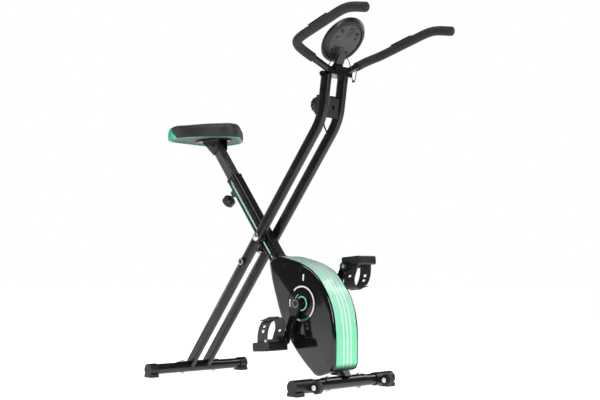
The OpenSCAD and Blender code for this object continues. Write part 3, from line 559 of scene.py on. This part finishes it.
def casing_band():
    """The coloured strip that lies in the recess along the casing's front edge."""
    steps = 8
    line = closed_curve(CASING, steps)[int(BAND_FROM * steps):int(BAND_TO * steps)]
    across = [-46.6, -46.0, *range(-44, 45, 4), 46.0, 46.6]
    depth = [1.0, 0.2, *([-0.1] * 23), 0.2, 1.0]
    verts = [P(x + d * nx, y, z + d * nz) for y, d in zip(across, depth) for x, z, nx, nz in line]
    faces = grid(len(across), len(line), closed=False)
    band = piece("casing_band_striped", verts, faces, "mint", "front_frame")
    modify(band, "SOLIDIFY", thickness=1.2 * MM, offset=-1)
    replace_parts(band, "casing_band")


def arc_plate(name, r0, r1, start, end, side, look, lift=0.35):
    """A thin raised arc on the casing's face, about the crank, from one angle to another."""
    steps = max(4, int(abs(end - start) / 4))
    verts = []
    for i in range(steps + 1):
        a = math.radians(start + (end - start) * i / steps)
        for r, dy in ((r0, -0.8), (r0, 0.0), (r1, 0.0), (r1, -0.8)):
            x, z = CRANK[0] + r * math.cos(a), CRANK[1] + r * math.sin(a)
            verts.append(P(x, side * (crown_y(x, z) + lift + dy), z))
    faces = grid(steps + 1, 4)
    if abs(end - start) < 360:
        faces += caps(len(verts), 4)
    return piece(name, verts, faces, look, "front_frame")


# look, inner and outer radius, and the angles that each printed arc runs between
RING_ARCS = [("white_mark", 51, 56, 150, -48), ("white_mark", 51, 56, -132, -98),
             ("white_mark", 51, 56, 192, 166), ("green_mark", 50, 56, -52, -96),
             ("mint_mark", 19, 23.5, 150, -118), ("mint_mark", 30, 33, 118, 162)]


def casing_marks():
    """Raised ring, plain printed arcs and a tick round each end of the crank axle."""
    for side, word in ((-1, "right"), (1, "left")):
        join(f"crank_ring_{word}", [
            arc_plate("lip", 58.5, 61, 0, 360, side, "gloss_black", 1.1),
            arc_plate("cup", 34.5, 36, 0, 360, side, "gloss_black", 0.8)])
        for i, (look, r0, r1, start, end) in enumerate(RING_ARCS):
            arc_plate(f"ring_mark_{word}_{i}", r0, r1, start, end, side, look)
        arc_plate(f"ring_tick_{word}", 72, 92, 84, 88, side, "white_mark")


SCREWS = [(150, 388), (226, 374), (350, 95), (110, 350), (282, 92)]


def casing_wells():
    """A countersunk well with a lip round each casing screw, its near-black colour painted shade for the screw's
    hollow, and caps over the crank's ends.
    """
    for side, word in ((-1, "right"), (1, "left")):
        # the wells' near-black finish is painted shade for the hollows round the screws
        wells = [lathe("well", [(0, -0.6), (4.6, -0.6), (5.0, 0.35), (6.0, 0.4), (6.5, -1)],
                       P(x, side * (crown_y(x, z) + 0.1), z), (0, side, 0), "hole", "front_frame",
                       24)
                 for x, z in SCREWS]
        join(f"casing_wells_{word}", wells)
        low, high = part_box(f"crank_arm_{word}")
        face = (low.y if side < 0 else high.y) / MM
        lathe(f"crank_cap_{word}", [(13, -1.5), (13, 3.2), (12, 5.6), (8, 7), (3.2, 7.2), (2.6, 6.2), (0, 6.2)],
              P(CRANK[0], face, CRANK[1]), (0, side, 0), "black_plastic", "crank", 40)


# ---------------------------------------------------------------- seat

SEAT_TOP = on_line(SEAT_FOOT, SEAT_TILT, 1038)
SEAT_HALF = [
    (-140, 0), (-140, 50), (-134, 88), (-114, 116), (-76, 130), (-30, 132), (12, 123), (48, 100),
    (76, 70), (96, 47), (113, 34), (125, 19), (129, 0),
]
SEAT_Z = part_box("seat_cushion")[0].z / MM
CUSHION_T = 42
TOP_RINGS = 12


def seat_outline(inset, steps=4):
    """Plan of the saddle round the seat post, as (x, y) pairs, drawn in by some millimetres."""
    ring = SEAT_HALF + [(x, -y) for x, y in SEAT_HALF[-2:0:-1]]
    return [(x + inset * nx, y + inset * ny) for x, y, nx, ny in closed_curve(ring, steps)]


# the cushion's side from below: how far in, and how high
CUSHION_SIDE = [
    (16, -5.0), (7, -9.0), (3, -10.4), (1.2, -9.4), (0.4, -4), (0, 5), (0.4, 13), (1.6, 20),
    (3.6, 26), (6.6, 31), (10.8, 35), (15.5, 37.6), (20, 39),
]
CUSHION_IN = CUSHION_SIDE[-1][0]


def side_inset(z):
    """How far in the cushion's side is at a height."""
    for (d0, z0), (d1, z1) in zip(CUSHION_SIDE[3:], CUSHION_SIDE[4:]):
        if z <= z1:
            return d0 + (d1 - d0) * (z - z0) / (z1 - z0)
    return CUSHION_IN


def wave(x):
    """The saddle's long profile: low in the middle, higher at the back and along the nose."""
    return -2.6 * math.cos(math.pi * x / 90) - 3.0 * max(0.0, (x - 100) / 37) ** 2


def cushion_top(x, y, share):
    """Height of the cushion's top: a crown with a hollow along the middle."""
    hollow = 5.5 * math.exp(-(y / 40) ** 2) * (1 - share ** 4)
    if x >= 60:
        hollow *= math.exp(-((x - 60) / 40) ** 2)
    return CUSHION_T - 3.0 + 3.2 * (1 - share ** 2) - hollow


def seat_cushion():
    """Moulded foam saddle: bulged sides, a piped seam below a dished top."""
    line = seat_outline(CUSHION_IN)
    verts = [P(SEAT_TOP[0] + x, y, SEAT_Z + z + wave(x) * max(0, z) / CUSHION_T)
             for d, z in CUSHION_SIDE for x, y in seat_outline(d)]
    for k in range(1, TOP_RINGS + 1):
        share = 1 - k / (TOP_RINGS + 0.6)
        verts += [P(SEAT_TOP[0] + share * x, share * y,
                    SEAT_Z + cushion_top(share * x, share * y, share) + wave(x * share)) for x, y in line]
    faces = grid(len(CUSHION_SIDE) + TOP_RINGS, len(line)) + caps(len(verts), len(line))
    cushion = piece("seat_cushion_vinyl", verts, faces, "cushion_vinyl", "seat", sharp=70)
    modify(cushion, "SUBSURF", levels=1)
    cushion.data.set_sharp_from_angle(angle=math.radians(70))
    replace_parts(cushion, "seat_cushion")


PANEL_FROM = 1.1        # along the saddle's outline, in its points
PANEL_TO = 4.8


def seat_shell():
    """Hard shell under the cushion: a rim, short ribs inside it and two corners that turn up at the back, over a
    black plate that is painted shade in its hollow.
    """
    line = seat_outline(7)
    rings = [(3.2, -1), (3.2, -10), (4.0, -11), (6.4, -11), (7.2, -10), (7.2, -1)]
    verts = [P(SEAT_TOP[0] + x, y, SEAT_Z + z) for d, z in rings for x, y in seat_outline(d)]
    faces = [tuple(v % len(verts) for v in face) for face in grid(len(rings) + 1, len(line))]
    parts = [piece("rim", verts, faces, "teal", "seat")]
    for (x, y), (u, v) in list(zip(line, seat_outline(17)))[::2]:
        spot = Matrix.Translation(P(SEAT_TOP[0] + (x + u) / 2, (y + v) / 2, SEAT_Z - 4.5))
        turned = spot @ Matrix.Rotation(math.atan2(y - v, x - u), 4, "Z")
        parts.append(block("rib", (11, 2, 7), turned, "teal", "seat", 0.4))
    for side in (-1, 1):
        parts.append(corner_panel(side))
    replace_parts(join("seat_shell_teal", parts), "seat_base")
    # black plate across the shell's hollow: painted shade for the dark cavity under the cushion
    verts = [P(SEAT_TOP[0] + x, y, SEAT_Z + z) for z in (0, -2) for x, y in line]
    faces = grid(2, len(line)) + caps(len(verts), len(line))
    piece("seat_hollow_shade_plate", verts, faces, "black_plastic", "seat")


def corner_panel(side):
    """One back corner of the shell, narrowing as it rises against the cushion."""
    rows, cols = 9, 24
    verts = []
    for j in range(rows):
        z = -9.5 + 43 * j / (rows - 1)
        lean = j / (rows - 1)
        lo = PANEL_FROM + 0.6 * lean ** 1.5
        hi = PANEL_TO - 1.3 * lean
        smooth = seat_outline(side_inset(z) - 1.5, 12)
        for i in range(cols):
            t = lo + (hi - lo) * i / (cols - 1)
            x, y = smooth[int(t * 12)]
            x2, y2 = smooth[int(t * 12) + 1]
            f = t * 12 - int(t * 12)
            verts.append(P(SEAT_TOP[0] + x + (x2 - x) * f, side * (y + (y2 - y) * f),
                           SEAT_Z + z + wave(x) * max(0, z) / CUSHION_T))
    panel = piece("corner", verts, grid(rows, cols, closed=False), "teal", "seat")
    return modify(panel, "SOLIDIFY", thickness=2.2 * MM, offset=0)


# ---------------------------------------------------------------- pedals

PEDAL_IN = 89
PEDAL_Y = 80
PEDAL_BACK = 17
TREAD = -3
STRAP_H = 78
STRAP_W = 46
STRAP_T = 2.6
STRAP_COLS = 9


def pedal_place(side):
    """Matrix of a pedal: on its spindle, tread up on the right and down on the left."""
    name = "pedal_left_spin" if side > 0 else "pedal_right_spin"
    x, z = joint_mm(name)
    turn = math.radians((180 if side > 0 else 0) - 4)
    return Matrix.Translation(P(x, 0, z)) @ Matrix.Rotation(turn, 4, "Y") @ Matrix.Diagonal((1, side, 1, 1))


def strap(side):
    """Rubber toe strap: a loop that rises from the tread and leans forwards, with a free tail."""
    mid = PEDAL_IN + PEDAL_Y / 2
    half = PEDAL_Y / 2
    # (y, z, lean forwards) up the outer leg, over and down the inner leg
    run = [(mid + half - 7, TREAD - 10, 0), (mid + half - 9, TREAD + 30, 3),
           (mid + half - 16, TREAD + 58, 10), (mid + half - 28, TREAD + 67, 14),
           (mid - 12, TREAD + STRAP_H - 3, 18), (mid - half + 14, TREAD + 66, 19),
           (mid - half + 5, TREAD + 44, 14), (mid - half + 8, TREAD + 18, 5),
           (mid - half + 14, TREAD - 10, 0)]
    path = spline([Vector((x, y, z)) * MM for y, z, x in run], 4)
    tail = [Vector((x, y, z)) * MM for y, z, x in (
        (mid - 6, TREAD + STRAP_H, 18), (mid + 12, TREAD + 71.5, 15), (mid + half - 12, TREAD + 68, 12))]
    word = "left" if side > 0 else "right"
    cols = STRAP_COLS - 1
    hole = (cols // 2 - 1, cols // 2)
    bands = []
    for name, line, slots in (("loop", path, (4, 6, len(path) - 8)), ("tail", spline(tail, 3), (3,))):
        verts = []
        for point in line:
            for c in range(STRAP_COLS):
                across = Vector(((-PEDAL_BACK + STRAP_W * (c / cols - 0.5)) * MM, 0, 0))
                verts.append(pedal_place(side) @ (point + across))
        faces = [face for i, face in enumerate(grid(len(line), STRAP_COLS, closed=False))
                 if not (i // cols in slots and i % cols in hole)]
        band = piece(f"strap_{name}", verts, faces, "strap_rubber", f"pedal_{word}")
        modify(band, "SOLIDIFY", thickness=STRAP_T * MM, offset=0)
        bands.append(modify(band, "BEVEL", width=0.6 * MM, segments=2, limit_method="ANGLE"))
    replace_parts(join(f"strap_{word}_rubber", bands), f"strap_{word}")


# ---------------------------------------------------------------- console

FACE_TILT = math.radians(47.5)
CONSOLE_AT = (CLAMP[0] + 24, CLAMP[1] + 98)


def console():
    """Round computer: a dished case with a ribbed back, a clear face and a screen."""
    axis = Vector((-math.sin(FACE_TILT), 0, math.cos(FACE_TILT)))
    up = Vector((math.cos(FACE_TILT), 0, math.sin(FACE_TILT)))
    centre = P(CONSOLE_AT[0], 0, CONSOLE_AT[1])
    profile = [(0, -12), (60, -10), (61.5, -9), (62.5, -12.5), (64.5, -13.5), (70, -12), (76, -7.5), (79.5, -2),
               (80, 1.5), (78.5, 4.6), (75, 6.2), (68, 6), (66, 4.6), (58, 4.2), (0, 4.6)]
    case = lathe("console_case_round", profile, centre, axis, "black_plastic", "rear_frame", 96)
    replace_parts(case, "console_case")
    place = Matrix.Translation(centre) @ Matrix((up, (0, 1, 0), axis)).transposed().to_4x4()

    def on_case(name, size, spot, look, bevel):
        """A block at a spot (up the face, to the left, out of the face) on the case."""
        return block(name, size, place @ Matrix.Translation(Vector(spot) * MM), look, "rear_frame", bevel)

    on_case("console_screen", (44, 62, 1.4), (14, 0, 4.9), "lcd", 0.5)
    on_case("console_bezel", (52, 70, 1.0), (14, 0, 4.6), "gloss_black", 0.5)
    lathe("console_back", [(0, -12.6), (59.5, -10.6), (60.5, -9)], centre, axis, "back_grey",
          "rear_frame", 72)
    vents = [on_case("vent", (3.4, 30 - 3 * abs(k), 1.8), (34 + 7 * k, 6, -12.4), "gloss_black", 0.6)
             for k in range(-2, 3)]
    vents += [on_case("lid", (2.2, 44, 2.0), (-22 - 26 * k, -8, -12.6), "gloss_black", 0.6) for k in (0, 1)]
    vents += [on_case("latch", (8, 12, 2.2), (12 + 4 * k, 38 * k, -12.4), "gloss_black", 0.8)
              for k in (-1, 1)]
    join("console_vents", vents)
    bosses = [lathe("boss", [(0, 1.2), (2.4, 1.2), (2.8, 2.2), (4.8, 2.4), (5.4, 1.6), (5.6, -1.5), (0, -1.5)],
                    place @ (Vector((47 * math.cos(a), 47 * math.sin(a), -11.5)) * MM), -axis,
                    "black_plastic", "rear_frame", 24) for a in (0.8, -0.8, 2.4, -2.4)]
    join("console_screw_bosses", bosses)


# ---------------------------------------------------------------- cords

TENSION_CABLE = [
    (275, 8, 866), (268, 10, 850), (264, 14, 836), (264, 22, 822), (262, 30, 811), (254, 37, 797),
    (240, 38, 780), (200, 38, 724), (150, 38, 661), (100, 38, 599), (50, 38, 538), (28, 38, 519),
    (8, 38, 503), (-2, 38, 492), (-11, 38, 481), (-19, 37, 467), (-23, 33, 456), (-22, 28, 451),
    (-20, 24, 445), (-14, 24, 440), (0, 24, 435), (30, 24, 430), (60, 25, 424),
    (84, 27, 418), (104, 28, 408), (122, 30, 390), (142, 32, 356), (162, 33, 320), (182, 34, 286),
    (200, 34, 258), (212, 34, 240),
]
SENSOR_LEAD = [
    (322, -14, 1036), (316, -17, 1022), (307, -19, 1006), (304, -20, 992), (304, -20, 978),
    (307, -21, 962), (311, -22, 948), (314, -21, 936), (316, -24, 927), (316, -31, 921), (313, -37, 908),
    (308, -38, 880), (298, -38, 847), (272, -38, 810), (240, -38, 772), (190, -38, 710), (140, -38, 649),
    (90, -38, 587), (50, -38, 538), (28, -38, 519), (8, -38, 503), (-2, -38, 492), (-11, -38, 481),
    (-20, -37, 466), (-23, -33, 456), (-23, -28, 450), (-20, -25, 443), (-12, -25, 437), (4, -25, 431),
    (30, -25, 427), (56, -25, 423), (84, -27, 418), (104, -29, 408), (124, -38, 394),
    (146, -48, 372), (160, -52, 344), (169, -52, 326), (172, -50, 316),
]
PULSE_LEAD = [
    (342.6, 36, 1045.4), (344, 40, 1040), (345, 46, 1031), (343, 50, 1024), (344, 52, 1018), (347, 53, 1010),
    (348, 54, 998), (348, 54, 986), (350, 54, 977), (355, 53, 972), (360, 54, 975), (361, 57, 984),
    (358, 62, 995), (352, 71, 1005), (345, 82, 1014), (341, 90, 1022), (339, 96, 1027),
]


def cords():
    """Brake cable and sensor lead, which run across the fold, and the lead of the hand sensors."""
    for name, points, r in (("tension_cable", TENSION_CABLE, 2.4), ("sensor_lead", SENSOR_LEAD, 1.5)):
        cord = sweep(name + "_sheath", spline([P(*p) for p in points]), circle(r, 12), "belt_rubber", None)
        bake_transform(cord)
        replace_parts(cord, name)
    line = spline([P(*p) for p in PULSE_LEAD])
    lead = sweep("pulse_lead_sheath", line, circle(1.4, 12), "belt_rubber", "rear_frame")
    plug = block("plug", (9, 6, 6), Matrix.Translation(P(355, 53, 971)), "belt_rubber", "rear_frame", 1.0)
    tie = lathe("tie", [(0, -2), (3.4, -2), (3.8, -1), (3.8, 1), (3.4, 2), (0, 2)], P(344, 51.5, 1018),
                (0.1, 0.3, -1), "belt_rubber", "rear_frame", 20)
    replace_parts(join("pulse_lead_joined", [lead, plug, tie]), "pulse_lead")


# ---------------------------------------------------------------- small pieces

SEAT_TUBE_HALF = 20
WHEEL_HALF = 14.4


def tube_stripe():
    """Printed stripe along the seat tube's side, with a pointed upper end."""
    # how far up the tube, and the stripe's two edges
    marks = [(492, -1.6, 1.6), (560, -1.9, 1.9), (640, -2.3, 2.3), (760, -2.8, 2.8),
             (820, -3.4, 3.4), (838, -0.3, 3.6)]
    for side, word in ((-1, "right"), (1, "left")):
        for look, shift, grow in (("mint_mark", -4.6, 1.0), ("white_mark", -2.0, 0.45)):
            verts = []
            for s, lo, hi in marks:
                for n, dy in ((lo, -0.4), (lo, 0.25), (hi, 0.25), (hi, -0.4)):
                    x, z = on_line(SEAT_FOOT, SEAT_TILT, s, shift + grow * n)
                    verts.append(P(x, side * (SEAT_TUBE_HALF + dy), z))
            faces = grid(len(marks), 4) + caps(len(verts), 4)
            piece(f"tube_stripe_{look[:-5]}_{word}", verts, faces, look, "front_frame")


def wheel_hubs():
    """Pale bolt heads over the ends of the transport wheels' axles."""
    for word, side in (("right", -1), ("left", 1)):
        at = middle(f"wheel_{word}")
        for face in (-1, 1):
            lathe(f"wheel_bolt_{word}_{'out' if face == side else 'in'}",
                  [(0, -1), (7.8, -1), (7.8, 1.2), (6.8, 2.2), (3.4, 2.4), (2.8, 1.4), (0, 1.4)],
                  at + Vector((0, face * WHEEL_HALF * MM, 0)), (0, face, 0), "white_mark",
                  "front_frame", 36)


def pin_ring():
    """Thin pale ring round the fold lock's knob."""
    low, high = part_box("lock_pin")
    centre = Vector(((low.x + high.x) / 2, low.y, (low.z + high.z) / 2))
    lathe("lock_pin_ring", [(8.8, -0.4), (8.8, 0.5), (9.2, 0.8), (10.2, 0.8), (10.6, 0.5), (10.6, -0.4)],
          centre, (0, -1, 0), "white_mark", "lock_pin", 40)


# ---------------------------------------------------------------- stage

def studio():
    """Pale floor, a white surround that lights the bike only dimly, and four soft lights."""
    floor = bpy.data.meshes.new("floor")
    floor.from_pydata([(-30, -30, 0), (30, -30, 0), (30, 30, 0), (-30, 30, 0)], [], [(0, 1, 2, 3)])
    ground = bpy.data.objects.new("floor", floor)
    bpy.context.scene.collection.objects.link(ground)
    pale = finish("floor_pale", (0.86, 0.86, 0.86), 0.75, vary=0.004, grain=(6, 0.01, 0.001),
                  edge=0, specular=0.2)
    pale.shader.inputs["Emission Color"].default_value = (1, 1, 1, 1)
    pale.shader.inputs["Emission Strength"].default_value = 0.92
    floor.materials.append(pale.mat)
    world = bpy.data.worlds.new("white")
    world.use_nodes = True
    tree = world.node_tree
    backdrop = tree.nodes["Background"]
    backdrop.inputs["Color"].default_value = (1, 1, 1, 1)
    backdrop.inputs["Strength"].default_value = 1.0
    dim = tree.nodes.new("ShaderNodeBackground")
    dim.inputs["Color"].default_value = (1, 1, 1, 1)
    dim.inputs["Strength"].default_value = 0.10
    seen = tree.nodes.new("ShaderNodeLightPath")
    both = tree.nodes.new("ShaderNodeMixShader")
    tree.links.new(seen.outputs["Is Camera Ray"], both.inputs["Fac"])
    tree.links.new(dim.outputs["Background"], both.inputs[1])
    tree.links.new(backdrop.outputs["Background"], both.inputs[2])
    tree.links.new(both.outputs["Shader"], tree.nodes["World Output"].inputs["Surface"])
    bpy.context.scene.world = world
    for name, size, place, target, power in (
            ("key", (0.7, 2.2), (2.9, -1.5, 1.9), (0.1, 0, 0.5), 52),
            ("side", (0.35, 2.2), (-2.9, -1.7, 1.3), (0, 0, 0.5), 14),
            ("top", (2.2, 0.8), (0.2, -0.6, 3.2), (0.1, 0, 0.5), 34),
            ("back", (0.7, 2.0), (0.8, 2.8, 1.8), (0.1, 0, 0.6), 26)):
        lamp = bpy.data.lights.new(name, "AREA")
        lamp.shape = "RECTANGLE"
        lamp.size, lamp.size_y = size
        lamp.energy = power
        holder = bpy.data.objects.new(name, lamp)
        holder.location = place
        holder.rotation_euler = (Vector(target) - Vector(place)).to_track_quat("-Z", "Y").to_euler()
        bpy.context.scene.collection.objects.link(holder)
    bpy.context.scene.view_settings.view_transform = "Standard"


def camera():
    """The viewpoint: low at the bike's front right, nearly level, with a long lens."""
    lens = bpy.data.cameras.new("camera")
    lens.sensor_width = 36
    lens.lens = 57.75
    lens.shift_x = 0.0583
    lens.shift_y = 0.0547
    holder = bpy.data.objects.new("camera", lens)
    bpy.context.scene.collection.objects.link(holder)
    ahead = Vector((-0.73461, 0.67710, 0.04341))
    right = Vector((0.67779, 0.73526, 0.00146))
    above = Vector((0.03093, -0.03050, 0.99906))
    holder.matrix_world = (Matrix.Translation(P(2392.15, -2204.88, 358.63))
                           @ Matrix((right, above, -ahead)).transposed().to_4x4())
    bpy.context.scene.camera = holder


camera()
cords()
studio()
twin_tubes()
handlebar()
casing_shells()
casing_band()
casing_marks()
casing_wells()
seat_cushion()
seat_shell()
strap(-1)
strap(1)
console()
tube_stripe()
wheel_hubs()
pin_ring()
